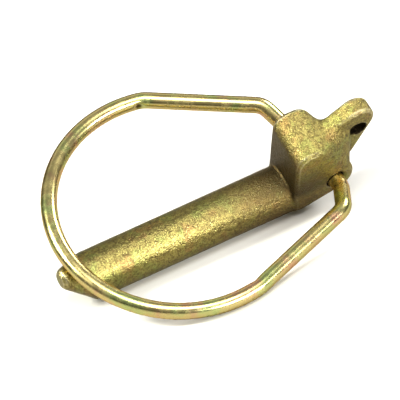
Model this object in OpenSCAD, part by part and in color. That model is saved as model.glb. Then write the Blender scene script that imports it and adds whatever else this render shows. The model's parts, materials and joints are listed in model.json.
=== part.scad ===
// Lynch pin with a forged head, a chain lug and a spring-wire ring, all in millimetres.
// The pin lies as it comes to rest: on its shaft, rolled over onto one side of the closed ring.
// The origin is on the shaft's axis, where the shaft leaves the head. +X runs to the tip, +Z is up.

/* [Shaft] */
// Diameter of the shaft
shaft_d = 12; // [10:0.5:14]
// Length of the full-diameter shaft, from the head's front face
shaft_length = 52.4; // [48:0.2:53]
// Length from the head's front face to the end of the nose
reach = 60.1; // [58:0.1:62]
// Diameter of the nose at its end, which is level with the top of the shaft
nose_d = 5.2; // [4:0.1:6]
// Bevel round the end of the nose
nose_bevel = 0.7; // [0.3:0.1:1]

/* [Head] */
// Width of the head, from one side face to the other
head_w = 13.1; // [12.4:0.1:15]
// Height of the head's top over the shaft's axis, on the side that the ring leans from
head_top = 21.6; // [19:0.1:24]
// How much lower the top is on its other side
top_fall = 2.2; // [0:0.1:3]
// Radius of the rounded corner between the head's front face and its top
brow_r = 4; // [2:0.1:5]
// Radius of the rounded rear end, round the cross hole
boss_r = 5.2; // [4.5:0.1:6]
// Radius of the front corner under the head's side faces
chin_r = 2; // [1.5:0.1:3]
// Depth of the chin's lowest point under the shaft's axis
chin_depth = 2.3; // [1.5:0.1:3]
// Bevel round the side faces
head_bevel = 0.8; // [0.4:0.1:1.2]

/* [Lug] */
// Thickness of the lug
lug_w = 4.8; // [4:0.1:6]
// Distance from the head's front face to the centre of the lug's round end
lug_back = 19; // [17:0.1:22]
// Height of that centre over the shaft's axis
lug_height = 18; // [16:0.1:19]
// Radius of the lug's round end
lug_r = 4.3; // [4:0.1:5]
// Bevel round the lug's side faces
lug_bevel = 0.6; // [0.3:0.1:1]
// Diameter of the chain hole
chain_hole_d = 4.2; // [3:0.1:4.4]
// How far the chain hole is drilled under the centre of the round end
chain_hole_drop = 2.6; // [1.5:0.1:3]

/* [Cross hole] */
// Distance from the head's front face to the cross hole's centre, on its axis' middle
hole_back = 10; // [9.5:0.1:11]
// Height of the cross hole over the shaft's axis
hole_height = 4.8; // [4.3:0.1:5.5]
// Angle of the cross hole to the head's width
hole_skew = 8.5; // [0:0.5:12]
// Play between the wire and the cross hole's wall
hole_play = 0.08; // [0.04:0.01:0.1]
// Depth of the countersink in each mouth
sink_depth = 0.7; // [0.4:0.1:1]

/* [Ring] */
// Diameter of the wire
wire_d = 4; // [3.5:0.1:4.5]
// Radius of the large arc, to the middle of the wire
arc_r = 30.1; // [29:0.1:32]
// Distance from the head's front face to the middle of the arc
arc_ahead = 26.9; // [26:0.1:28]
// How far the middle of the arc lies to one side of the shaft
arc_aside = 3.4; // [0:0.1:4]
// Gap between the closed ring and the top of the shaft
closed_gap = 0.3; // [0.2:0.05:0.6]
// Angle at which the left straight closes in on the shaft
left_angle = 30.9; // [29:0.1:33]
// Angle at which the right straight closes in on the shaft
right_angle = 19; // [17:0.1:21]
// Turn of the tool bend at the left end of the arc
left_kink = 17; // [12:0.5:20]
// Turn of the tool bend at the right end of the arc
right_kink = 7; // [5:0.5:12]
// Distance of the left corner, where the wire turns in, from the shaft's axis
left_corner = 18; // [17:0.1:19]
// Distance of the right corner from the shaft's axis
right_corner = 16.4; // [15.5:0.1:17]
// Radius of the tool bends between the arc and the straights
kink_r = 8; // [6:0.5:10]
// Radius of the other bends
bend_r = 4.6; // [4:0.1:5]
// How much the wire's radius shrinks where it is bent tightly
bend_thinning = 0.02; // [0.02:0.005:0.04]
// Gap between the two wire ends inside the cross hole
ends_gap = 2; // [1:0.5:4]

/* [Hidden] */

FORGED = "darkkhaki";
WIRE = "khaki";

shaft_r = shaft_d / 2;
wire_r = wire_d / 2;
hole_r = wire_r + hole_play;
half_w = head_w / 2;

// How far the shaft's full round runs into the head, and the small step where the head ends round it.
neck_depth = 3;
neck_step = 0.01;

// How far a thinned bend reaches into the full wire at each end.
bend_lap = 0.25;

// The closed ring lies in a level plane over the shaft.
ring_height = shaft_r + closed_gap + wire_r;

// Roll that brings the shaft and the ring's right side down to one floor.
ring_side = arc_r - arc_aside;
roll = atan2(ring_height, ring_side) + asin((shaft_r - wire_r) / norm([ring_side, ring_height]));

// Centres of the rounded corners in the head's outline: distance behind the front face, then height.
brow = [brow_r, head_top - brow_r];
crown = [brow_r + 2, head_top - brow_r];
boss = [hole_back + 0.9, hole_height + 0.3];
chin = [chin_r, chin_r - chin_depth];

// Middle of the large arc, as seen from above.
arc_middle = [arc_ahead, -arc_aside];

// Point on the cross hole's axis at a distance y from the middle of the head.
function on_hole(y) = [-hole_back - y * tan(hole_skew), y, hole_height];

function unit(v) = v / norm(v);
function heading(v) = atan2(v[1], v[0]);
function flat_point(v, z) = [v[0], v[1], z];

// The ring has two sides: side 1 is the right one, at +Y, and side -1 is the left one.
// Each straight runs along one direction, and its outward normal points away from the shaft.
function straight_angle(side) = side > 0 ? right_angle : left_angle;
function along(side) = [cos(straight_angle(side)), side * sin(straight_angle(side))];
function outward(side) = [-sin(straight_angle(side)), side * cos(straight_angle(side))];

// The straight cuts a little off the large circle, and the turn of the kink says how much.
function straight_off(side) = arc_r * cos(side > 0 ? right_kink : left_kink);

// The kink is rounded by an arc that touches the straight, and the large circle from inside.
function kink_slide(side) = sqrt(pow(arc_r - kink_r, 2) - pow(straight_off(side) - kink_r, 2));
function kink_middle(side) =
    arc_middle + (straight_off(side) - kink_r) * outward(side) + kink_slide(side) * along(side);
function kink_end(side) = kink_middle(side) + kink_r * outward(side);
function arc_limit(side) = heading(kink_middle(side) - arc_middle);

// The corner is the point of the straight that lies at its own distance from the shaft.
function corner_off(side) = side > 0 ? right_corner : left_corner;
function straight_length(side) =
    (abs(kink_end(side)[1]) - corner_off(side)) / sin(straight_angle(side));
function corner(side) = kink_end(side) - straight_length(side) * along(side);

// The legs reach the cross hole's axis this far from the middle of the head.
leg_off = half_w + wire_r;

// The wire's route on one side: the kink, the corner, the foot of the leg and the end in the hole.
function route(side) = [
    flat_point(kink_end(side), ring_height),
    flat_point(corner(side), ring_height),
    on_hole(side * leg_off),
    on_hole(side * ends_gap / 2)
];

// Turn of the wire at b, and how far before and after b the bend begins and ends.
function turn(a, b, c) = acos(unit(b - a) * unit(c - b));
function setback(a, b, c) = bend_r * tan(turn(a, b, c) / 2);

// A flat disc across the head. Its place is a distance behind the front face, then a height.
module disc(at, r, y, depth) {
    translate([-at[0], y + depth / 2, at[1]])
        rotate([90, 0, 0])
            cylinder(r = r, h = depth, $fn = 32);
}

// A rounded corner of the head's outline, right across the head and bevelled at both side faces.
// It may lie lower on the right side than on the left one.
module corner_post(at, r, fall = 0) {
    skin = 0.02;
    for (side = [-1, 1]) {
        low = side > 0 ? fall : 0;
        disc(at - [0, low], r - head_bevel, side * (half_w - skin / 2), skin);
        disc(at - [0, low], r, side * (half_w - head_bevel), skin);
    }
}

// The head is one rounded block, drawn round its corner posts and the root of the shaft.
module head_block() {
    hull() {
        corner_post(brow, brow_r, top_fall);
        corner_post(crown, brow_r, top_fall);
        corner_post(boss, boss_r);
        corner_post(chin, chin_r);
        translate([-neck_depth, 0, 0])
            rotate([0, 90, 0])
                cylinder(r = shaft_r + neck_step, h = neck_depth, $fn = 64);
    }
}

// A rounded corner of the lug's outline, bevelled at both its side faces.
module lug_disc(at, r) {
    disc(at, r - lug_bevel, 0, lug_w);
    disc(at, r, 0, lug_w - 2 * lug_bevel);
}

// The lug is a flat web from the head's top and rear to its own round end.
module lug() {
    hull() {
        lug_disc([lug_back, lug_height], lug_r);
        lug_disc([boss[0] + 0.7, head_top - 4.6], 2.2);
        lug_disc([boss[0] + 4.6, boss[1] + 3.5], 3);
    }
}

// A round bevelled post that reaches from one place across the head to another.
module bevelled_post(at, r, left, right) {
    disc(at, r, (left + right) / 2, right - left);
    disc(at, r - head_bevel, (left + right) / 2, right - left + 2 * head_bevel);
}

// The metal that leads from the broad head to the narrow lug. It starts level with the lower side of
// the head's top, and stays clear of the higher side.
module saddle() {
    saddle_end = lug_back - 5.6;
    inner_w = half_w - head_bevel;
    hull() {
        bevelled_post(crown - [0, top_fall], brow_r, 3 - inner_w, inner_w);
        bevelled_post(boss + [0, 1.5], boss_r - 1, -inner_w, inner_w);
        disc([saddle_end, lug_height - 4], 3.4, 0, lug_w);
        disc([saddle_end + 1.4, boss[1] + 5], 2, 0, lug_w);
    }
}

module shaft() {
    translate([-neck_depth / 2, 0, 0])
        rotate([0, 90, 0])
            cylinder(r = shaft_r, h = shaft_length + neck_depth / 2, $fn = 96);
}

// The nose is cut back on its underside and stays level on top, so that the ring can pass over it.
module nose() {
    nose_height = shaft_r - nose_d / 2;
    hull() {
        translate([shaft_length - 1, 0, 0])
            rotate([0, 90, 0])
                cylinder(r = shaft_r, h = 1, $fn = 64);
        translate([reach - nose_bevel - 1, 0, nose_height])
            rotate([0, 90, 0])
                cylinder(r = nose_d / 2, h = 1, $fn = 32);
        translate([reach - 1, 0, nose_height])
            rotate([0, 90, 0])
                cylinder(r = nose_d / 2 - nose_bevel, h = 1, $fn = 32);
    }
}

// Straight drilling across the head, with a countersink in each mouth.
module cross_hole() {
    mouth = half_w / cos(hole_skew) - sink_depth;
    sink_h = 3 * sink_depth;
    translate(on_hole(0))
        rotate([90, 0, hole_skew]) {
            cylinder(r = hole_r, h = 3 * head_w, center = true, $fn = 64);
            for (flip = [0, 180])
                rotate([flip, 0, 0])
                    translate([0, 0, mouth])
                        cylinder(r1 = hole_r, r2 = hole_r + sink_h, h = sink_h, $fn = 64);
        }
}

module chain_hole() {
    translate([-lug_back, 0, lug_height - chain_hole_drop])
        rotate([90, 0, 0])
            cylinder(d = chain_hole_d, h = 2 * lug_w, center = true, $fn = 64);
}

module pin_body() {
    color(FORGED)
        rotate([-roll, 0, 0])
            difference() {
                union() {
                    head_block();
                    lug();
                    saddle();
                    shaft();
                    nose();
                }
                cross_hole();
                chain_hole();
            }
}

// Turns what is drawn along +Z so that it runs along the direction v.
module aim(v) {
    rotate([0, acos(unit(v)[2]), atan2(v[1], v[0])])
        children();
}

// Straight wire from one point to another.
module rod(from, to) {
    translate(from)
        aim(to - from)
            cylinder(r = wire_r, h = norm(to - from), $fn = 48);
}

// Part of a round bend in the plane across +Z, as seen from its middle: thinned wire reaches a little
// way into the full wire at both its ends.
module thin_arc(r, swing) {
    lap_angle = bend_lap / r * 180 / PI;
    rotate([0, 0, -lap_angle])
        rotate_extrude(angle = swing + 2 * lap_angle, $fn = 96)
            translate([r, 0])
                circle(r = wire_r - bend_thinning, $fn = 48);
}

// Bent wire at the point b, between straight stretches from a and to c.
module bend(a, b, c) {
    inward = unit(unit(c - b) + unit(a - b));
    axle = unit(cross(unit(b - a), unit(c - b)));
    middle = b + inward * bend_r / cos(turn(a, b, c) / 2);
    across = cross(axle, -inward);
    multmatrix([
        [-inward[0], across[0], axle[0], middle[0]],
        [-inward[1], across[1], axle[1], middle[1]],
        [-inward[2], across[2], axle[2], middle[2]],
        [0, 0, 0, 1]
    ])
        rotate([0, 0, -turn(a, b, c) / 2])
            thin_arc(bend_r, turn(a, b, c));
}

// The large arc, from one kink to the other.
module large_arc() {
    translate(flat_point(arc_middle, ring_height))
        rotate([0, 0, arc_limit(-1)])
            rotate_extrude(angle = arc_limit(1) - arc_limit(-1), $fn = 180)
                translate([arc_r, 0])
                    circle(r = wire_r, $fn = 48);
}

// The kink that turns the large arc into a straight.
module kink(side) {
    swing = abs(heading(outward(side)) - arc_limit(side));
    translate(flat_point(kink_middle(side), ring_height))
        rotate([0, 0, side > 0 ? arc_limit(side) : arc_limit(side) - swing])
            thin_arc(kink_r, swing);
}

// One side of the ring, from the kink to the wire end in the cross hole.
module ring_half(side) {
    p = route(side);
    corner_cut = setback(p[0], p[1], p[2]);
    foot_cut = setback(p[1], p[2], p[3]);
    kink(side);
    rod(p[0], p[1] - corner_cut * unit(p[1] - p[0]));
    bend(p[0], p[1], p[2]);
    rod(p[1] + corner_cut * unit(p[2] - p[1]), p[2] - foot_cut * unit(p[2] - p[1]));
    bend(p[1], p[2], p[3]);
    rod(p[2] + foot_cut * unit(p[3] - p[2]), p[3]);
}

module ring() {
    color(WIRE)
        rotate([-roll, 0, 0]) {
            large_arc();
            ring_half(1);
            ring_half(-1);
        }
}

pin_body();
ring();
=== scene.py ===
# %% [markdown]
# # A forged lynch pin with a spring-wire ring
# The pin is forged in one piece: a round shaft, a tall head and a lug with a hole for a chain.
# A ring of spring wire is sprung into a hole across the head, and snaps down over the shaft's tip.
# Both pieces are zinc plated and yellow passivated, which leaves a thin film of gold, green and pink.
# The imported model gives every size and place. This script gives each piece its skin and its finish.

# %% Load the frame
import json
import math
import bpy
import numpy as np
from mathutils import Matrix, Vector, noise
from mathutils.bvhtree import BVHTree


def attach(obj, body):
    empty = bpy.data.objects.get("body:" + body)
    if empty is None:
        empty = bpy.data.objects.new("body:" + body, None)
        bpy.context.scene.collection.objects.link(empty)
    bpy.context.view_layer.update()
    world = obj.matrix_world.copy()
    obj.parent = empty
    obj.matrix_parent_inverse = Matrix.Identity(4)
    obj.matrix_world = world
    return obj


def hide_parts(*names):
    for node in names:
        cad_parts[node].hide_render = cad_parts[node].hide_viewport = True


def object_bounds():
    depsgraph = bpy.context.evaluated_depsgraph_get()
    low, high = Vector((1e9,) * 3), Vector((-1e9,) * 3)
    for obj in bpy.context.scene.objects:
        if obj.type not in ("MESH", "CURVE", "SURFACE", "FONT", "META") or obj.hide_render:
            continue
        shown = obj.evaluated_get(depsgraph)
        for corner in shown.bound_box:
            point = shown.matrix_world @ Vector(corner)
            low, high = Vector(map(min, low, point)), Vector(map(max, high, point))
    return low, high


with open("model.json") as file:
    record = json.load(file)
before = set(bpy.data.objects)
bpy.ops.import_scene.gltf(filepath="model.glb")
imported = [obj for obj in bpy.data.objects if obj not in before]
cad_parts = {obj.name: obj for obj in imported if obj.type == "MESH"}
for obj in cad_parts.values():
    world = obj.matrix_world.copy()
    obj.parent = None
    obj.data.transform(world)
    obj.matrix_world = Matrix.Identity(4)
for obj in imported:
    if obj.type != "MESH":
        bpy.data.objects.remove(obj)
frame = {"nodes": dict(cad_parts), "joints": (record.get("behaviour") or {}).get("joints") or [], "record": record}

MM = 0.001
SCENE = bpy.context.scene
cad_low, cad_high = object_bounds()
print("CAD box in mm:", [round(v / MM, 2) for v in cad_high - cad_low])

# %% [markdown]
# ## Where things are
# The record holds the shaft's radius, the hinge's place and axis, and the chain hole's place and size.
# The pin lies rolled over onto its ring, so the script also needs the pin's own upright directions:
# `UP` is the way that the head stands up from the shaft, and `SIDE` is square to it.
# The chain hole is drilled across the head, so its axis is `SIDE` itself.

# %% Read the places from the record
mounts = {m["name"]: m for m in frame["record"]["mounts"]}
joint = frame["joints"][0]
SHAFT_R = mounts["shaft"]["dims"]["r_mm"] * MM
SIDE = Vector(mounts["chain_hole"]["axis"]).normalized()
AHEAD = Vector((1, 0, 0))
UP = AHEAD.cross(SIDE)
HINGE = Vector(joint["pos_m"])
HINGE_AXIS = Vector(joint["axis"]).normalized()
CHAIN_HOLE = Vector(mounts["chain_hole"]["pos_m"])
CHAIN_HOLE_R = mounts["chain_hole"]["dims"]["r_mm"] * MM
FLOOR_Z = cad_low.z


def upright(ahead, side, up):
    """A point given along the pin's own upright directions, in millimetres, in the frame."""
    return (AHEAD * ahead + SIDE * side + UP * up) * MM


print("roll of the pin:", round(math.degrees(math.atan2(UP.y, UP.z)), 2), "degrees")

# %% [markdown]
# ## A helper for meshes
# Every piece here ends up as a plain mesh whose vertices hold its place, with its object at the origin.
# `from_pydata` makes the mesh, and shading smooth lets the light run over the small faces.

# %% Make a piece from points and faces


def new_piece(name, points, faces):
    """A smooth-shaded mesh object made of the given points and faces."""
    mesh = bpy.data.meshes.new(name)
    mesh.from_pydata([tuple(p) for p in points], [], faces)
    mesh.update()
    mesh.shade_smooth()
    piece = bpy.data.objects.new(name, mesh)
    SCENE.collection.objects.link(piece)
    return piece


def points_of(piece):
    """The piece's vertices as rows of x, y, z."""
    flat = np.empty(3 * len(piece.data.vertices))
    piece.data.vertices.foreach_get("co", flat)
    return flat.reshape(-1, 3)


def move_points(piece, rows):
    """Puts the piece's vertices at the given rows of x, y, z."""
    piece.data.vertices.foreach_set("co", np.asarray(rows, np.float32).ravel())
    piece.data.update()


# %% [markdown]
# ## The forging
# A drop forging has no sharp inner corners: the hot metal flows from the shaft into the head and from
# the head into the lug in soft hollows, and its outer edges are broken by the dies and by tumbling.
# The CAD solid has crisp edges, so its copy is turned into an even skin of small squares by a voxel
# remesh, which forgets the old edges, and the skin is then relaxed by averaging each vertex with its
# neighbours. The number of passes sets the radius of the blend, so a vertex group makes the hollows
# soft and keeps the hole mouths and the nose crisp.

# %% Copy the CAD body and remesh it
VOXEL = 0.26 * MM


def apply_modifiers(piece):
    """Bakes the piece's modifiers into its mesh."""
    graph = bpy.context.evaluated_depsgraph_get()
    baked = bpy.data.meshes.new_from_object(piece.evaluated_get(graph))
    piece.modifiers.clear()
    piece.data = baked


source = frame["nodes"]["pin_body"]
body = bpy.data.objects.new("forged_body", source.data.copy())
SCENE.collection.objects.link(body)
body.data.materials.clear()
weld = body.modifiers.new("weld", "WELD")
weld.merge_threshold = 0.001 * MM
remesh = body.modifiers.new("remesh", "REMESH")
remesh.mode = "VOXEL"
remesh.voxel_size = VOXEL
remesh.adaptivity = 0
apply_modifiers(body)
print("forging:", len(body.data.polygons), "faces after the remesh")

# %% [markdown]
# The blend weights are worked out from places on the pin. `near` is 1 within a radius of a point, and
# falls smoothly to 0 over the same distance again. The root of the shaft and the root of the lug get
# the widest blends. The saddle behind the brow and the boss round the cross hole are soft too.

# %% Helpers for relaxing the skin
RELAX_FACTOR = 0.5
WEIGHT_STEPS = 20


def near(rows, place, radius):
    """1 within the radius (in mm) of the place, falling smoothly to 0 at twice the radius."""
    away = np.linalg.norm(rows - np.array(place), axis=1) / (radius * MM)
    fall = np.clip(2 - away, 0, 1)
    return fall * fall * (3 - 2 * fall)


def relax(piece, name, weights, passes):
    """Averages each vertex with its neighbours, as strongly as its weight says."""
    group = piece.vertex_groups.new(name=name)
    steps = np.round(np.clip(weights, 0, 1) * WEIGHT_STEPS).astype(int)
    for step in range(1, WEIGHT_STEPS + 1):
        group.add(np.flatnonzero(steps == step).tolist(), step / WEIGHT_STEPS, "REPLACE")
    smooth = piece.modifiers.new(name, "SMOOTH")
    smooth.factor = RELAX_FACTOR
    smooth.iterations = passes
    smooth.vertex_group = name
    apply_modifiers(piece)
    piece.vertex_groups.clear()


# %% Choose the soft places and relax them
ROOT_LENGTH = 2.2 * MM
ROOT_REACH = 1.6 * SHAFT_R
EVERYWHERE_PASSES, ROOT_PASSES = 6, 12
# Each place: how far ahead and up it lies, the sides it is repeated at, its radius, and the passes.
SOFT_PLACES = {
    "lug_root": (-13.5, 16.5, (-3.5, 0, 3.5), 3.4, 70),
    "boss_top": (-13.6, 10.4, (-5.5, -2, 2, 5.5), 2.0, 60),
    "rear_rim": (-13.5, 14.5, (-6, 6), 2.4, 50),
    "saddle": (-9.8, 17.6, (-6, -3, 0, 3, 6), 2.6, 130),
}

rows = points_of(body)
off_axis = np.hypot(rows @ np.array(SIDE), rows @ np.array(UP))
root = np.exp(-((rows @ np.array(AHEAD) / ROOT_LENGTH) ** 2)) * (off_axis < ROOT_REACH)
relax(body, "everywhere", np.ones(len(rows)), EVERYWHERE_PASSES)
relax(body, "root", root, ROOT_PASSES)
for name, (ahead_mm, up_mm, sides, radius, passes) in SOFT_PLACES.items():
    weights = np.maximum.reduce([near(rows, upright(ahead_mm, s, up_mm), radius) for s in sides])
    relax(body, name, weights, passes)
    print("relaxed", name, "with", int((weights > 0.5).sum()), "vertices in its middle")

# %% [markdown]
# ## The skin of the forging
# Scale and shot leave the surface slightly lumpy, at about a millimetre, which shows at the outline
# and in the broken edge of every highlight. That is real shape, so each vertex is moved along its
# normal by a smooth noise. The cross hole and the chain hole are drilled later, so they stay clean.

# %% Helpers for the lumps
LUMP_SIZE = 1.3 * MM
LUMP_DEPTH = 0.035 * MM
FINE_LUMP_SIZE = 0.45 * LUMP_SIZE
COARSE_LUMPS, FINE_LUMPS = 0.65, 0.35
CLEAN_ROUND_CROSS_HOLE = 2.6 * MM
CLEAN_ROUND_CHAIN_HOLE = 2.3 * MM
CLEAN_FADE = 0.4 * MM


def lumpy(place):
    """Noise from about -1 to 1 at two sizes."""
    coarse, fine = noise.noise(place / LUMP_SIZE), noise.noise(place / FINE_LUMP_SIZE)
    return COARSE_LUMPS * coarse + FINE_LUMPS * fine


def from_line(rows, point, axis):
    """Distance of each row from the line through the point along the axis."""
    away = rows - np.array(point)
    along = away @ np.array(axis)
    return np.linalg.norm(away - along[:, None] * np.array(axis), axis=1)


# %% Give the forging its lumps
rows = points_of(body)
normals = np.array([v.normal for v in body.data.vertices])
lumps = np.array([lumpy(Vector(p)) for p in rows])
from_cross_hole = from_line(rows, HINGE, HINGE_AXIS)
from_chain_hole = from_line(rows, CHAIN_HOLE, SIDE)
drilled = np.minimum(from_cross_hole - CLEAN_ROUND_CROSS_HOLE, from_chain_hole - CLEAN_ROUND_CHAIN_HOLE)
keep = np.clip(drilled / CLEAN_FADE, 0, 1)
move_points(body, rows + normals * (lumps * keep * LUMP_DEPTH)[:, None])
body.data.shade_smooth()
print("lumps on", int((keep > 0.5).sum()), "of", len(rows), "vertices")

# %% [markdown]
# ## What the finish needs to know about the shape
# Wear and painted light follow the shape. An edge that stands out is made bright, partly as rubbed wear
# and partly as a painted highlight. A drilled hole and a hollow get painted shade, and so do the top of
# the shaft next to the head, where the head's shadow falls, and the head's front face. Each of these is
# worked out once from the mesh and stored as a number on every vertex, so the material can read it as an
# attribute. Where a vertex lies outside a more relaxed copy of the same mesh, it stands out.

# %% Helpers that measure the relief and store a number on every vertex


def relaxed_rows(piece, passes):
    """The piece's vertices after more relaxing, without changing the piece."""
    smooth = piece.modifiers.new("relaxed", "SMOOTH")
    smooth.factor = RELAX_FACTOR
    smooth.iterations = passes
    relaxed = piece.evaluated_get(bpy.context.evaluated_depsgraph_get())
    flat = np.empty(3 * len(relaxed.data.vertices))
    relaxed.data.vertices.foreach_get("co", flat)
    piece.modifiers.clear()
    return flat.reshape(-1, 3)


def note(piece, name, values):
    """Stores one number for each vertex, which the material reads as an attribute."""
    attribute = piece.data.attributes.new(name, "FLOAT", "POINT")
    attribute.data.foreach_set("value", np.asarray(values, np.float32))


# %% Store what stands out and what lies in a drilled hole
WEAR_PASSES = 14
# The real cross hole opens a little wider at its mouth than its 2.08 mm bore, so its shade does too.
CROSS_HOLE_MOUTH_R = 2.35 * MM
MOUTH = 0.35 * MM
MOUTH_FADE = 0.3 * MM

rows = points_of(body)
stands_out = ((rows - relaxed_rows(body, WEAR_PASSES)) * normals).sum(axis=1)
note(body, "stands_out", stands_out / MM)
outside_bores = np.minimum(from_cross_hole - CROSS_HOLE_MOUTH_R, from_chain_hole - CHAIN_HOLE_R)
# The bore number marks painted shade in the holes' bores and mouths.
note(body, "bore", np.clip((MOUTH - outside_bores) / MOUTH_FADE, 0, 1))
print("stands out from", round(stands_out.min() / MM, 3), "to", round(stands_out.max() / MM, 3), "mm")

# %% Store the painted shade on the shaft's top by the head and on the head's front face, and the way outward
ROOT_SHADE_REACH = 9.0 * MM
ROOT_SHADE_FROM, ROOT_SHADE_FULL = 3.4 * MM, 5.4 * MM
FRONT_DEPTH = 3 * MM
UNSHADED_FROM, UNSHADED_FULL = 5 * MM, 13 * MM
ROOT_SHADE_SHARE, FRONT_SHADE_SHARE = 0.95, 0.85


def ramp(values, low, high):
    """0 below the low value and 1 above the high one, straight between them."""
    return np.clip((values - low) / (high - low), 0, 1)


ahead, side, up = (rows @ np.array(way) for way in (AHEAD, SIDE, UP))
from_root = np.hypot(ahead, np.hypot(side, up) - SHAFT_R)
root_shade = np.exp(-((from_root / ROOT_SHADE_REACH) ** 2)) * ramp(up, ROOT_SHADE_FROM, ROOT_SHADE_FULL)
front_shade = ramp(normals @ np.array(AHEAD), 0.5, 1.0) * (np.abs(ahead) < FRONT_DEPTH)
# The corner number is painted shade: the head's shadow on the top of the shaft near it, and the dark front face.
note(body, "corner", np.maximum(ROOT_SHADE_SHARE * root_shade, FRONT_SHADE_SHARE * front_shade))
# away_from_root is 0 near the root, where the film is darkened as painted shade.
note(body, "away_from_root", ramp(from_root, UNSHADED_FROM, UNSHADED_FULL) * (ahead < FRONT_DEPTH))
print("vertices in the corner:", int((root_shade > 0.5).sum()))
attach(body, "pin")
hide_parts("pin_body")
print("forging:", len(body.data.polygons), "squares, lumps of", LUMP_DEPTH / MM, "mm")

# %% [markdown]
# ## The ring's line
# The ring is one length of 4 mm spring wire. It starts in the cross hole, leaves the head sideways,
# turns up a corner into a straight, kinks into a large arc over the shaft's tip, and comes back on the
# other side in the same way. Wire bent over pegs is a chain of straights and round bends, so it can be
# given as a few corner points, each with its own bend radius. Even the large arc is such a chain: three
# corners of a polygon that goes round the circle, each rounded with the circle's own radius.

# %% Where the ring's straights and arc run
# These lengths are in millimetres, and the angles are in degrees.
WIRE_R = 2.0
CLOSED_GAP = 0.3
RING_HEIGHT = SHAFT_R / MM + CLOSED_GAP + WIRE_R
ARC_R = 30.1
ARC_MIDDLE = Vector((26.9, -3.4))
BEND_R = 4.6
KINK_R = 8.0
# The wire leaves the cross hole's axis at LEG to each side of the head's middle, and ends at END.
LEG = 8.55
END = 1.0
# On each side: how far the straight closes in, how far the kink turns, and how far out the corner is.
SIDES = {
    1: {"closes_in": 19.0, "kink": 7.0, "corner": 16.4},
    -1: {"closes_in": 30.9, "kink": 17.0, "corner": 18.0},
}


def direction(degrees):
    """The flat unit vector that points this many degrees round from straight ahead."""
    return Vector((math.cos(math.radians(degrees)), math.sin(math.radians(degrees))))


def crossing(first, second):
    """Where two lines meet. Each is (degrees of its normal, distance from the arc's middle)."""
    lines = Matrix((direction(first[0]), direction(second[0])))
    return lines.inverted() @ Vector((first[1], second[1]))


def straight_line(way):
    """The straight on one side, as the degrees of its outward normal and its distance."""
    facts = SIDES[way]
    return way * (90 + facts["closes_in"]), ARC_R * math.cos(math.radians(facts["kink"]))


def arc_end(way):
    """Degrees at which the large arc gives way to the kink, which touches the arc and the straight."""
    normal, distance = straight_line(way)
    slide = math.sqrt((ARC_R - KINK_R) ** 2 - (distance - KINK_R) ** 2)
    middle = (distance - KINK_R) * direction(normal) + slide * direction(normal - 90 * way)
    return math.degrees(math.atan2(middle.y, middle.x))


def in_hole(side):
    """The point of the cross hole's axis that lies this far to the side of the head's middle."""
    return HINGE + HINGE_AXIS * (side * MM / HINGE_AXIS.dot(SIDE))


def flat_to_frame(point):
    """A point given from the arc's middle, in the ring's own plane, in the frame."""
    place = ARC_MIDDLE + point
    return upright(place.x, place.y, RING_HEIGHT)


def corner_point(way):
    """Where the straight, seen from above, comes to its corner beside the head."""
    normal, distance = straight_line(way)
    outward, along = direction(normal), direction(normal - 90 * way)
    side_wanted = way * SIDES[way]["corner"] - ARC_MIDDLE.y
    return outward * distance + along * ((side_wanted - outward.y * distance) / along.y)


print("the arc runs from", round(arc_end(-1), 1), "to", round(arc_end(1), 1), "degrees")

# %% Chain the corners, each with its bend radius
tangents = [straight_line(1)]
for share in (0, 1 / 3, 2 / 3, 1):
    tangents.append((arc_end(1) + share * (arc_end(-1) - arc_end(1)), ARC_R))
tangents.append(straight_line(-1))
flat_corners = [crossing(a, b) for a, b in zip(tangents, tangents[1:])]
corners = (
    [(in_hole(END), 0), (in_hole(LEG), BEND_R), (flat_to_frame(corner_point(1)), BEND_R)]
    + [(flat_to_frame(p), r) for p, r in zip(flat_corners, (KINK_R, ARC_R, ARC_R, ARC_R, KINK_R))]
    + [(flat_to_frame(corner_point(-1)), BEND_R), (in_hole(-LEG), BEND_R), (in_hole(-END), 0)]
)
print(len(corners), "corners from one wire end to the other")

# %% [markdown]
# ## Sweeping the wire
# The corners become one dense line, and the line is cut into equal steps. At each step a circle of
# points stands square to the line. Each circle's first direction is the last one turned only as much
# as the line turns, so the tube doesn't twist and the reflections run cleanly along it.

# %% Turn the corners into an even line
STEP = 0.33 * MM
ROUND = 44


def rounded(corners):
    """Dense points along the corners, each rounded by its bend radius in mm."""
    line = [corners[0][0]]
    for (before, _), (at, radius), (after, _) in zip(corners, corners[1:], corners[2:]):
        arriving, leaving = (at - before).normalized(), (after - at).normalized()
        turn = arriving.angle(leaving)
        cut = radius * MM * math.tan(turn / 2)
        axis = arriving.cross(leaving).normalized()
        start = at - arriving * cut
        middle = start + axis.cross(arriving) * radius * MM
        count = max(8, math.ceil(turn * radius * MM / (0.25 * STEP)))
        for i in range(count + 1):
            line.append(middle + Matrix.Rotation(turn * i / count, 3, axis) @ (start - middle))
    line.append(corners[-1][0])
    return np.array([tuple(p) for p in line])


def even_steps(line, step):
    """The same line cut into equal steps of about the given length."""
    lengths = np.r_[0, np.cumsum(np.linalg.norm(np.diff(line, axis=0), axis=1))]
    wanted = np.linspace(0, lengths[-1], round(lengths[-1] / step) + 1)
    return np.column_stack([np.interp(wanted, lengths, line[:, k]) for k in range(3)])


wire_line = even_steps(rounded(corners), STEP)
wire_length = np.linalg.norm(np.diff(wire_line, axis=0), axis=1).sum()
print("wire:", round(float(wire_length) / MM, 1), "mm long in", len(wire_line) - 1, "steps")

# %% Sweep a circle along the line


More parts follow.
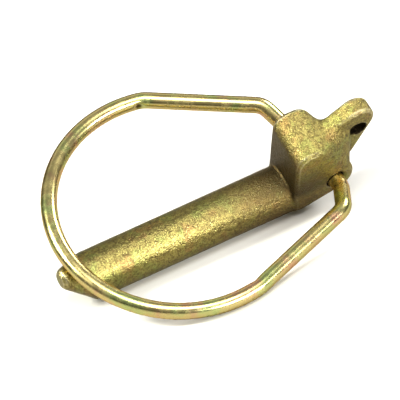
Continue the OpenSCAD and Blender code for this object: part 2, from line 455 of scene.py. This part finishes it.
def swept(line, radius, count):
    """Points and faces of a closed tube round the line."""
    tangents = np.gradient(line, axis=0)
    tangents /= np.linalg.norm(tangents, axis=1)[:, None]
    first = Vector(tangents[0]).orthogonal().normalized()
    points, faces = [], []
    for place, tangent in zip(line, tangents):
        tangent = Vector(tangent)
        first = (first - tangent * first.dot(tangent)).normalized()
        second = tangent.cross(first)
        for i in range(count):
            angle = 2 * math.pi * i / count
            points.append(Vector(place) + radius * (first * math.cos(angle) + second * math.sin(angle)))
    for ring in range(len(line) - 1):
        for i in range(count):
            j = (i + 1) % count
            a, b = ring * count, (ring + 1) * count
            faces.append((a + i, a + j, b + j, b + i))
    faces.append(tuple(reversed(range(count))))
    faces.append(tuple(range((len(line) - 1) * count, len(line) * count)))
    return points, faces


wire = new_piece("spring_wire", *swept(wire_line, WIRE_R * MM, ROUND))
drawn = wire.data.attributes.new("drawn", "FLOAT_VECTOR", "POINT")
for i, value in enumerate(drawn.data):
    turn, place = 2 * math.pi * (i % ROUND) / ROUND, (i // ROUND) * STEP
    value.vector = (WIRE_R * MM * math.cos(turn), WIRE_R * MM * math.sin(turn), place)
print("wire:", len(wire.data.polygons), "faces")

# %% [markdown]
# ## Tool marks on the wire
# The bending tool grips the wire on the inside of each bend, and leaves a short dent there. Two of
# them are deep. Between bends the wire is true, apart from a faint flattening on the inside of the
# kinks. A dent is a small hollow: points near it move towards the middle of the wire.

# %% Helpers for a dent


def press(rows, line, place, depth, length, width):
    """Moves the points near the place towards the wire's middle. Depth, length and width are in mm."""
    nearest = np.argmin(np.linalg.norm(line - np.array(place), axis=1))
    tangent = line[min(nearest + 1, len(line) - 1)] - line[max(nearest - 1, 0)]
    tangent /= np.linalg.norm(tangent)
    away = rows - np.array(place)
    along = away @ tangent
    across = np.linalg.norm(away - along[:, None] * tangent, axis=1)
    amount = np.exp(-((along / (length * MM)) ** 2) - (across / (width * MM)) ** 2)
    towards = line[nearest] - np.array(place)
    towards /= np.linalg.norm(towards)
    return rows + amount[:, None] * towards * depth * MM


def inside_of(point, tilt):
    """The place on the wire's skin that faces into the ring at a flat point, tilted up in radians."""
    inward = upright(-point.x, -point.y, 0).normalized()
    return flat_to_frame(point) + (inward * math.cos(tilt) + UP * math.sin(tilt)) * WIRE_R * MM


# %% Press the dents
# Each dent: its place, its tilt in radians, and its depth, length and width in mm.
DENTS = (
    (ARC_R * direction(arc_end(-1)), 0.15, 0.75, 0.9, 0.8),
    (ARC_R * direction(arc_end(1)), 0.2, 0.2, 1.3, 1.2),
    (corner_point(-1) + Vector((1.9, 0.5)), 0.2, 0.65, 0.8, 0.8),
)

rows = points_of(wire)
round_rows = rows.copy()
for point, tilt, depth, length, width in DENTS:
    rows = press(rows, wire_line, inside_of(point, tilt), depth, length, width)
move_points(wire, rows)
moved = np.linalg.norm(rows - round_rows, axis=1) / MM
note(wire, "dented", moved)
wire.data.shade_smooth()
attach(wire, "ring")
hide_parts("ring")
print("dents:", len(DENTS), "and the deepest moves a point by", round(float(moved.max()), 2), "mm")

# %% Check the swept wire against the CAD ring
cad_ring = frame["nodes"]["ring"].data
tree = BVHTree.FromPolygons([v.co for v in cad_ring.vertices], [f.vertices for f in cad_ring.polygons])
gaps = [tree.find_nearest(v.co)[3] for v in wire.data.vertices]
print("the wire lies within", round(max(gaps) / MM, 3), "mm of the CAD ring, dents included")

# %% [markdown]
# ## Shader node groups
# Both pieces came out of the same plating bath, so they share their effects. Each effect is a node
# group with named sockets, built once: the passivate's film of drifting colours, and the grain of a
# rough surface. A group puts out only colours, masks and heights. The shader stays in each material.

# %% A helper that starts a node group


def start_group(name, inputs, outputs):
    """A node group with float and colour sockets. Returns the group, its inputs and its outputs."""
    group = bpy.data.node_groups.new(name, "ShaderNodeTree")
    kinds = {float: "NodeSocketFloat", tuple: "NodeSocketColor"}
    for label, value in inputs.items():
        socket = group.interface.new_socket(label, in_out="INPUT", socket_type=kinds[type(value)])
        socket.default_value = value
    for label, kind in outputs.items():
        group.interface.new_socket(label, in_out="OUTPUT", socket_type=kinds[kind])
    return group, group.nodes.new("NodeGroupInput"), group.nodes.new("NodeGroupOutput")


def noise_texture(tree, where, scale, detail=2.0):
    """A noise over the given coordinates. The scale is a number, or the socket that gives it."""
    texture = tree.nodes.new("ShaderNodeTexNoise")
    texture.inputs["Detail"].default_value = detail
    tree.links.new(where, texture.inputs["Vector"])
    if isinstance(scale, bpy.types.NodeSocket):
        tree.links.new(scale, texture.inputs["Scale"])
    else:
        texture.inputs["Scale"].default_value = scale
    return texture.outputs["Fac"]


def spread(tree, value, low, high):
    """Stretches the values from low to high over 0 to 1, smoothly."""
    node = tree.nodes.new("ShaderNodeMapRange")
    node.interpolation_type = "SMOOTHSTEP"
    tree.links.new(value, node.inputs["Value"])
    for label, bound in (("From Min", low), ("From Max", high)):
        if isinstance(bound, bpy.types.NodeSocket):
            tree.links.new(bound, node.inputs[label])
        else:
            node.inputs[label].default_value = bound
    return node.outputs["Result"]


def mixed(tree, share, first, second):
    """Mixes two colours. Each is a socket or a colour, and the share is a socket."""
    node = tree.nodes.new("ShaderNodeMix")
    node.data_type = "RGBA"
    tree.links.new(share, node.inputs["Factor"])
    for socket, value in ((node.inputs[6], first), (node.inputs[7], second)):
        if isinstance(value, bpy.types.NodeSocket):
            tree.links.new(value, socket)
        else:
            socket.default_value = value
    return node.outputs[2]


def maths(tree, operation, first, second):
    """One step of arithmetic on sockets or numbers."""
    node = tree.nodes.new("ShaderNodeMath")
    node.operation = operation
    for socket, value in zip(node.inputs, (first, second)):
        if isinstance(value, bpy.types.NodeSocket):
            tree.links.new(value, socket)
        else:
            socket.default_value = value
    return node.outputs[0]


# %% The passivate's film: gold that drifts to green and to rose
BLACK = (0.0, 0.0, 0.0, 1.0)
ROSE_SHIFT = (0.31, 0.17, 0.23)
GREENER, ROSIER = (0.48, 0.66), (0.52, 0.70)


def build_film():
    """Two soft noises choose where the film's gold turns green and where it turns rose."""
    inputs = {"Gold": BLACK, "Green": BLACK, "Rose": BLACK, "Patches per metre": 100.0}
    group, given, result = start_group("passivate_film", inputs, {"Color": tuple})
    where = group.nodes.new("ShaderNodeTexCoord").outputs["Object"]
    shifted = group.nodes.new("ShaderNodeVectorMath")
    shifted.inputs[1].default_value = ROSE_SHIFT
    group.links.new(where, shifted.inputs[0])
    size = given.outputs["Patches per metre"]
    greener = spread(group, noise_texture(group, where, size, 3.0), *GREENER)
    rosier = spread(group, noise_texture(group, shifted.outputs[0], size, 3.0), *ROSIER)
    colour = mixed(group, greener, given.outputs["Gold"], given.outputs["Green"])
    colour = mixed(group, rosier, colour, given.outputs["Rose"])
    group.links.new(colour, result.inputs["Color"])
    return group


# %% Grain: small pits and bumps, and a few bright specks
COARSER = 0.35
FINE_HEIGHT, COARSE_HEIGHT = 0.6, 0.4
SPECK_FADE = 0.08
MOTTLE = (0.36, 0.62)


def build_grain():
    """A fine and a coarse noise together. The height's low parts are pits, and its tops are specks."""
    inputs = {"Grains per metre": 2000.0, "Specks from": 0.62}
    outputs = {"Height": float, "Specks": float, "Mottle": float}
    group, given, result = start_group("grain", inputs, outputs)
    where = group.nodes.new("ShaderNodeTexCoord").outputs["Object"]
    scale = given.outputs["Grains per metre"]
    fine = noise_texture(group, where, scale, 2.0)
    coarse = noise_texture(group, where, maths(group, "MULTIPLY", scale, COARSER), 2.0)
    fine_height = maths(group, "MULTIPLY", fine, FINE_HEIGHT)
    coarse_height = maths(group, "MULTIPLY", coarse, COARSE_HEIGHT)
    height = maths(group, "ADD", fine_height, coarse_height)
    group.links.new(height, result.inputs["Height"])
    low = given.outputs["Specks from"]
    specks = spread(group, fine, low, maths(group, "ADD", low, SPECK_FADE))
    group.links.new(specks, result.inputs["Specks"])
    group.links.new(spread(group, height, *MOTTLE), result.inputs["Mottle"])
    return group


# %% Build both groups
FILM, GRAIN = build_film(), build_grain()
print("node groups:", FILM.name, "and", GRAIN.name)

# %% Helpers that start a material and place a group in it


def start_material(name):
    """A new material, its node tree and its Principled shader."""
    material = bpy.data.materials.new(name)
    material.use_nodes = True
    tree = material.node_tree
    return material, tree, tree.nodes["Principled BSDF"]


def place_group(tree, group, values):
    """Places a node group with its own values, which are given by the names of its sockets."""
    node = tree.nodes.new("ShaderNodeGroup")
    node.node_tree = group
    for label, value in values.items():
        node.inputs[label].default_value = value
    return node


def attribute(tree, name):
    """The number that each vertex of the piece holds under the given name."""
    node = tree.nodes.new("ShaderNodeAttribute")
    node.attribute_name = name
    return node.outputs["Fac"]


def bump(tree, height, strength, distance):
    """A Bump node's normal, from a height. The distance is how deep a height of 1 goes."""
    node = tree.nodes.new("ShaderNodeBump")
    node.inputs["Strength"].default_value = strength
    node.inputs["Distance"].default_value = distance
    tree.links.new(height, node.inputs["Height"])
    return node.outputs["Normal"]


# %% [markdown]
# ## The forging's finish
# A forged and shot-blasted surface under a thin zinc layer is satin and granular, so that each grain
# catches the light by itself. Near the root of the head, and on the shaft next to it, the film's colour is
# made a dark brown, which is painted shade. The film is olive gold on the head's top and the lug, and a
# little greener and smoother along the shaft. The finish is made as bare metal with a rough and bumpy
# skin, because the film is too thin to hide the metal's shine.

# %% Colours of the forging
# A darker film near the root of the head and on the shaft next to it: painted shade.
SHADED_NEAR_ROOT = {
    "Gold": (0.26, 0.195, 0.068, 1),
    "Green": (0.23, 0.205, 0.065, 1),
    "Rose": (0.26, 0.165, 0.06, 1),
    "Patches per metre": 300.0,
}
HEAD_AND_LUG = {
    "Gold": (0.46, 0.385, 0.115, 1),
    "Green": (0.41, 0.41, 0.11, 1),
    "Rose": (0.47, 0.32, 0.105, 1),
    "Patches per metre": 300.0,
}
ALONG_SHAFT = {
    "Gold": (0.40, 0.345, 0.105, 1),
    "Green": (0.355, 0.375, 0.105, 1),
    "Rose": (0.41, 0.275, 0.095, 1),
    "Patches per metre": 220.0,
}
# Painted shade for the top of the shaft by the head and for the head's front face.
PAINTED_ROOT_SHADE = (0.04, 0.03, 0.013, 1)
# Painted shade in hollows.
HOLLOW_SHADE = (0.09, 0.065, 0.03, 1)
PIT = (0.12, 0.085, 0.035, 1)
# A painted glint colour for the grain's specks.
PAINTED_GLINT = (0.88, 0.82, 0.42, 1)
# Partly rubbed edge wear, partly a painted highlight along the edges.
RUBBED_AND_HIGHLIT = (0.84, 0.77, 0.50, 1)
# Painted shade inside the holes.
HOLE_SHADE = (0.035, 0.025, 0.012, 1)
HOLLOW_SHADE_SHARE, PIT_SHARE, PAINTED_GLINT_SHARE, RUBBED_AND_HIGHLIT_SHARE = 0.6, 0.85, 0.22, 0.65
# How far in or out of the relaxed skin a place lies, in mm, as the shade painted in hollows and the bright edges
# come in.
SHADED_HOLLOWS, RUBBED_AND_HIGHLIT_EDGES = (0.01, 0.08), (0.015, 0.075)
print("three films, from the root of the head to the shaft's tip")


# %% The forging's colour: the film, then painted shade, pits, painted glints, and edges worn and painted bright
def forging_colour(tree, along_shaft, grain):
    """The forging's Base Color. The share along the shaft is 0 at the head and 1 towards the tip."""
    stands_out, corner = attribute(tree, "stands_out"), attribute(tree, "corner")
    shaded_near_root = place_group(tree, FILM, SHADED_NEAR_ROOT).outputs[0]
    head = place_group(tree, FILM, HEAD_AND_LUG).outputs[0]
    shaft = place_group(tree, FILM, ALONG_SHAFT).outputs[0]
    # Near the root, and along the shaft by the head, the darker film is painted shade.
    colour = mixed(tree, attribute(tree, "away_from_root"), shaded_near_root, head)
    colour = mixed(tree, along_shaft, colour, shaft)
    # The corner mix paints shade: the head's shadow on the top of the shaft, and the dark front face.
    colour = mixed(tree, corner, colour, PAINTED_ROOT_SHADE)
    # Hollows, found from the relief, get painted shade.
    hollow_shade = spread(tree, maths(tree, "MULTIPLY", stands_out, -1.0), *SHADED_HOLLOWS)
    colour = mixed(tree, maths(tree, "MULTIPLY", hollow_shade, HOLLOW_SHADE_SHARE), colour, HOLLOW_SHADE)
    pits = maths(tree, "SUBTRACT", 1.0, grain.outputs["Mottle"])
    colour = mixed(tree, maths(tree, "MULTIPLY", pits, PIT_SHARE), colour, PIT)
    # The bright specks in the colour are painted glints; the same specks also lower the roughness.
    painted_glints = maths(tree, "MULTIPLY", grain.outputs["Specks"], PAINTED_GLINT_SHARE)
    colour = mixed(tree, painted_glints, colour, PAINTED_GLINT)
    # Edges that stand out are brightened, partly as rubbed wear and partly as a painted highlight, but not in the
    # shaded corner.
    rubbed_and_highlit_edges = spread(tree, stands_out, *RUBBED_AND_HIGHLIT_EDGES)
    rubbed_and_highlit_edges = maths(tree, "MULTIPLY", rubbed_and_highlit_edges, maths(tree, "SUBTRACT", 1.0, corner))
    colour = mixed(tree, maths(tree, "MULTIPLY", rubbed_and_highlit_edges, RUBBED_AND_HIGHLIT_SHARE), colour, RUBBED_AND_HIGHLIT)
    # Painted shade inside the holes and at their mouths.
    return mixed(tree, attribute(tree, "bore"), colour, HOLE_SHADE)


# %% Material of the forging
GRAIN_DEPTH = 0.42 * MM
GLOSS_PATCHES_PER_METRE = 900.0
ROUGH_FROM, ROUGH_MORE = 0.35, 0.10
SMOOTHER_SHAFT, SMOOTHER_SPECKS = 0.07, 0.12
HEAD_END, SMOOTH_FROM = -1 * MM, 30 * MM
SHALLOWER_SHAFT = 0.5
FORGED_GRAIN = {"Grains per metre": 3000.0, "Specks from": 0.62}
GLOSS_PATCHES = (0.3, 0.7)


def forging_finish():
    """Granular satin metal under the film, smoother towards the shaft's tip."""
    material, tree, shader = start_material("forged_passivate")
    where = tree.nodes.new("ShaderNodeTexCoord").outputs["Object"]
    split = tree.nodes.new("ShaderNodeSeparateXYZ")
    tree.links.new(where, split.inputs[0])
    along_shaft = spread(tree, split.outputs["X"], HEAD_END, SMOOTH_FROM)
    grain = place_group(tree, GRAIN, FORGED_GRAIN)
    tree.links.new(forging_colour(tree, along_shaft, grain), shader.inputs["Base Color"])
    gloss = spread(tree, noise_texture(tree, where, GLOSS_PATCHES_PER_METRE, 3.0), *GLOSS_PATCHES)
    rough = maths(tree, "ADD", maths(tree, "MULTIPLY", gloss, ROUGH_MORE), ROUGH_FROM)
    rough = maths(tree, "SUBTRACT", rough, maths(tree, "MULTIPLY", along_shaft, SMOOTHER_SHAFT))
    smoother = maths(tree, "MULTIPLY", grain.outputs["Specks"], SMOOTHER_SPECKS)
    rough = maths(tree, "SUBTRACT", rough, smoother)
    tree.links.new(rough, shader.inputs["Roughness"])
    share = maths(tree, "SUBTRACT", 1.0, maths(tree, "MULTIPLY", along_shaft, SHALLOWER_SHAFT))
    relief = maths(tree, "MULTIPLY", grain.outputs["Height"], share)
    tree.links.new(bump(tree, relief, 1.0, GRAIN_DEPTH), shader.inputs["Normal"])
    shader.inputs["Metallic"].default_value = 1.0
    return material


body.data.materials.append(forging_finish())
print("forging's material:", body.data.materials[0].name)

# %% [markdown]
# ## The wire's finish
# Drawn spring wire is much smoother than the forging. The same film lies on it, so it has the same
# golds and greens, but here it is glossy: it gives back the lights as long bright streaks. The drawing
# die leaves fine lines along the wire. They follow the `drawn` attribute, which holds where each vertex
# was on the straight wire, stretched along its length.

# %% Material of the wire
WIRE_FILM = {
    "Gold": (0.72, 0.60, 0.25, 1),
    "Green": (0.57, 0.64, 0.24, 1),
    "Rose": (0.74, 0.45, 0.26, 1),
    "Patches per metre": 170.0,
}
DENT_SHADE = (0.05, 0.035, 0.015, 1)
COPPER_RIM = (0.95, 0.72, 0.55, 1)
DENT_SHARE = 0.9
DENTS_SHADED = (0.15, 0.6)
WIRE_GLOSS_PER_METRE = 500.0
WIRE_ROUGH_FROM, WIRE_ROUGH_MORE = 0.20, 0.10
LINES_PER_METRE, LINE_STRETCH = 3200.0, 0.06
LINE_STRENGTH = 0.5
LINE_DEPTH = 0.012 * MM


def wire_finish():
    """Glossy drawn metal under the film, with fine lines along it and dark dents."""
    material, tree, shader = start_material("drawn_passivate")
    film = place_group(tree, FILM, WIRE_FILM).outputs[0]
    dented = spread(tree, attribute(tree, "dented"), *DENTS_SHADED)
    dark = maths(tree, "MULTIPLY", dented, DENT_SHARE)
    tree.links.new(mixed(tree, dark, film, DENT_SHADE), shader.inputs["Base Color"])
    where = tree.nodes.new("ShaderNodeTexCoord").outputs["Object"]
    gloss = spread(tree, noise_texture(tree, where, WIRE_GLOSS_PER_METRE, 3.0), *GLOSS_PATCHES)
    rough = maths(tree, "ADD", maths(tree, "MULTIPLY", gloss, WIRE_ROUGH_MORE), WIRE_ROUGH_FROM)
    tree.links.new(rough, shader.inputs["Roughness"])
    straight = tree.nodes.new("ShaderNodeAttribute")
    straight.attribute_name = "drawn"
    stretched = tree.nodes.new("ShaderNodeMapping")
    stretched.inputs["Scale"].default_value = (1.0, 1.0, LINE_STRETCH)
    tree.links.new(straight.outputs["Vector"], stretched.inputs["Vector"])
    lines = noise_texture(tree, stretched.outputs[0], LINES_PER_METRE, 2.0)
    tree.links.new(bump(tree, lines, LINE_STRENGTH, LINE_DEPTH), shader.inputs["Normal"])
    shader.inputs["Metallic"].default_value = 1.0
    shader.inputs["Specular Tint"].default_value = COPPER_RIM
    return material


wire.data.materials.append(wire_finish())
print("wire's material:", wire.data.materials[0].name)

# %% [markdown]
# ## The table
# The pin lies on a pale table, which the camera sees almost white. In the metal a white table would
# drown the dark undersides, so to glossy rays the table is a dim grey that fades to dark further out,
# like a table edge with a dark room behind it. The Light Path node tells the two kinds of ray apart.

# %% Build the table
TABLE_R = 0.9
TABLE_MIDDLE = (0.02, 0, FLOOR_Z)
TABLE_PAINT = (0.86, 0.86, 0.85, 1)
TABLE_IN_METAL = (0.40, 0.38, 0.35, 1)
ROOM_IN_METAL = (0.07, 0.065, 0.06, 1)
FADE_FROM, FADE_TO = 0.07, 0.20

bpy.ops.mesh.primitive_circle_add(vertices=96, radius=TABLE_R, fill_type="NGON", location=TABLE_MIDDLE)
table = bpy.context.object
table.name = "table"
paint, tree, shader = start_material("pale_table")
shader.inputs["Roughness"].default_value = 0.7
place = tree.nodes.new("ShaderNodeTexCoord").outputs["Object"]
reach = tree.nodes.new("ShaderNodeVectorMath")
reach.operation = "LENGTH"
tree.links.new(place, reach.inputs[0])
far = spread(tree, reach.outputs["Value"], FADE_FROM, FADE_TO)
reflected = mixed(tree, far, TABLE_IN_METAL, ROOM_IN_METAL)
rays = tree.nodes.new("ShaderNodeLightPath")
seen = mixed(tree, rays.outputs["Is Glossy Ray"], TABLE_PAINT, reflected)
tree.links.new(seen, shader.inputs["Base Color"])
table.data.materials.append(paint)
print("table:", 2 * TABLE_R, "m across")

# %% [markdown]
# ## The lights
# Metal shows what stands round it more than its own colour, so each light has one job. A broad one
# overhead lights the table and the top of the shaft. A small one beside the head runs along the rounded
# brow. A low wide strip in front draws the bright line along the shaft. A dim broad one at the back
# keeps the wire's upper rim off the background, and one behind the lug lights the saddle.

# %% Light the scene
AIM = Vector((17.8, -7.6, 1.2)) * MM
# Each light: the way towards it, its distance, width and height in metres, its watts and its colour.
LIGHTS = {
    "overhead": ((0.0, 0.37, 0.93), 0.8, 0.50, 0.36, 3.8, (1.0, 0.98, 0.94)),
    "beside_head": ((0.72, -0.20, 0.66), 0.7, 0.16, 0.16, 6.5, (1.0, 0.99, 0.88)),
    "front_right": ((-0.30, 0.88, 0.33), 0.7, 0.40, 0.14, 4.6, (1.0, 0.99, 0.95)),
    "back": ((-0.29, -0.78, 0.56), 0.9, 1.0, 0.45, 0.7, (1.0, 0.99, 0.96)),
    "behind": ((-0.84, -0.14, 0.52), 0.7, 0.30, 0.26, 2.4, (1.0, 0.99, 0.96)),
}


def soft_light(name, towards, distance, width, height, power, colour):
    """An area light that looks at the pin from the given direction."""
    light = bpy.data.lights.new(name, "AREA")
    light.shape = "RECTANGLE"
    light.size, light.size_y = width, height
    light.energy = power
    light.color = colour
    lamp = bpy.data.objects.new(name, light)
    SCENE.collection.objects.link(lamp)
    direction_in = Vector(towards).normalized()
    lamp.location = AIM + direction_in * distance
    lamp.rotation_euler = direction_in.to_track_quat("Z", "Y").to_euler()


for name, values in LIGHTS.items():
    soft_light(name, *values)
print("lights:", ", ".join(LIGHTS))

# %% [markdown]
# ## The surroundings
# The camera sees a plain pale wall. The metal sees a dim room instead, a little brighter towards the
# ceiling, which gives the wire its dark bands between the lights.

# %% Build the surroundings
WALL = (0.93, 0.93, 0.92, 1)
ROOM_LOW = (0.06, 0.055, 0.05, 1)
ROOM_HIGH = (0.30, 0.30, 0.29, 1)
CEILING_AT = 0.9

world = bpy.data.worlds.new("studio")
SCENE.world = world
world.use_nodes = True
nodes, links = world.node_tree.nodes, world.node_tree.links
nodes.clear()
wall, room = nodes.new("ShaderNodeBackground"), nodes.new("ShaderNodeBackground")
wall.inputs["Color"].default_value = WALL
parts = nodes.new("ShaderNodeSeparateXYZ")
links.new(nodes.new("ShaderNodeTexCoord").outputs["Generated"], parts.inputs[0])
raised = spread(world.node_tree, parts.outputs["Z"], 0.0, CEILING_AT)
links.new(mixed(world.node_tree, raised, ROOM_LOW, ROOM_HIGH), room.inputs["Color"])
choice, output = nodes.new("ShaderNodeMixShader"), nodes.new("ShaderNodeOutputWorld")
links.new(nodes.new("ShaderNodeLightPath").outputs["Is Camera Ray"], choice.inputs[0])
links.new(room.outputs[0], choice.inputs[1])
links.new(wall.outputs[0], choice.inputs[2])
links.new(choice.outputs[0], output.inputs["Surface"])
print("surroundings:", world.name)

# %% [markdown]
# ## The camera
# The pin is seen from its near side, from above and well in front of the head, with a long lens from
# far away, so that near and far parts keep their true proportions. The camera is rolled a little.

# %% Place the camera
CAMERA_AZIMUTH = 159.2
CAMERA_HEIGHT = 34.0
CAMERA_ROLL = -12.3
CAMERA_DISTANCE = 3.0
VIEW_WIDTH = 94.8 * MM
NEAR_CLIP, FAR_CLIP = 0.05, 20
azimuth, height = math.radians(CAMERA_AZIMUTH), math.radians(CAMERA_HEIGHT)
towards_camera = Vector(
    (math.sin(azimuth) * math.cos(height), -math.cos(azimuth) * math.cos(height), math.sin(height))
)
camera_data = bpy.data.cameras.new("camera")
camera_data.lens = camera_data.sensor_width * CAMERA_DISTANCE / VIEW_WIDTH
camera_data.clip_start, camera_data.clip_end = NEAR_CLIP, FAR_CLIP
camera = bpy.data.objects.new("camera", camera_data)
SCENE.collection.objects.link(camera)
camera.location = AIM + towards_camera * CAMERA_DISTANCE
facing = towards_camera.to_track_quat("Z", "Y").to_matrix()
camera.rotation_euler = (facing @ Matrix.Rotation(math.radians(CAMERA_ROLL), 3, "Z")).to_euler()
SCENE.camera = camera
SCENE.view_settings.view_transform = "Standard"
print("camera lens:", round(camera_data.lens), "mm")
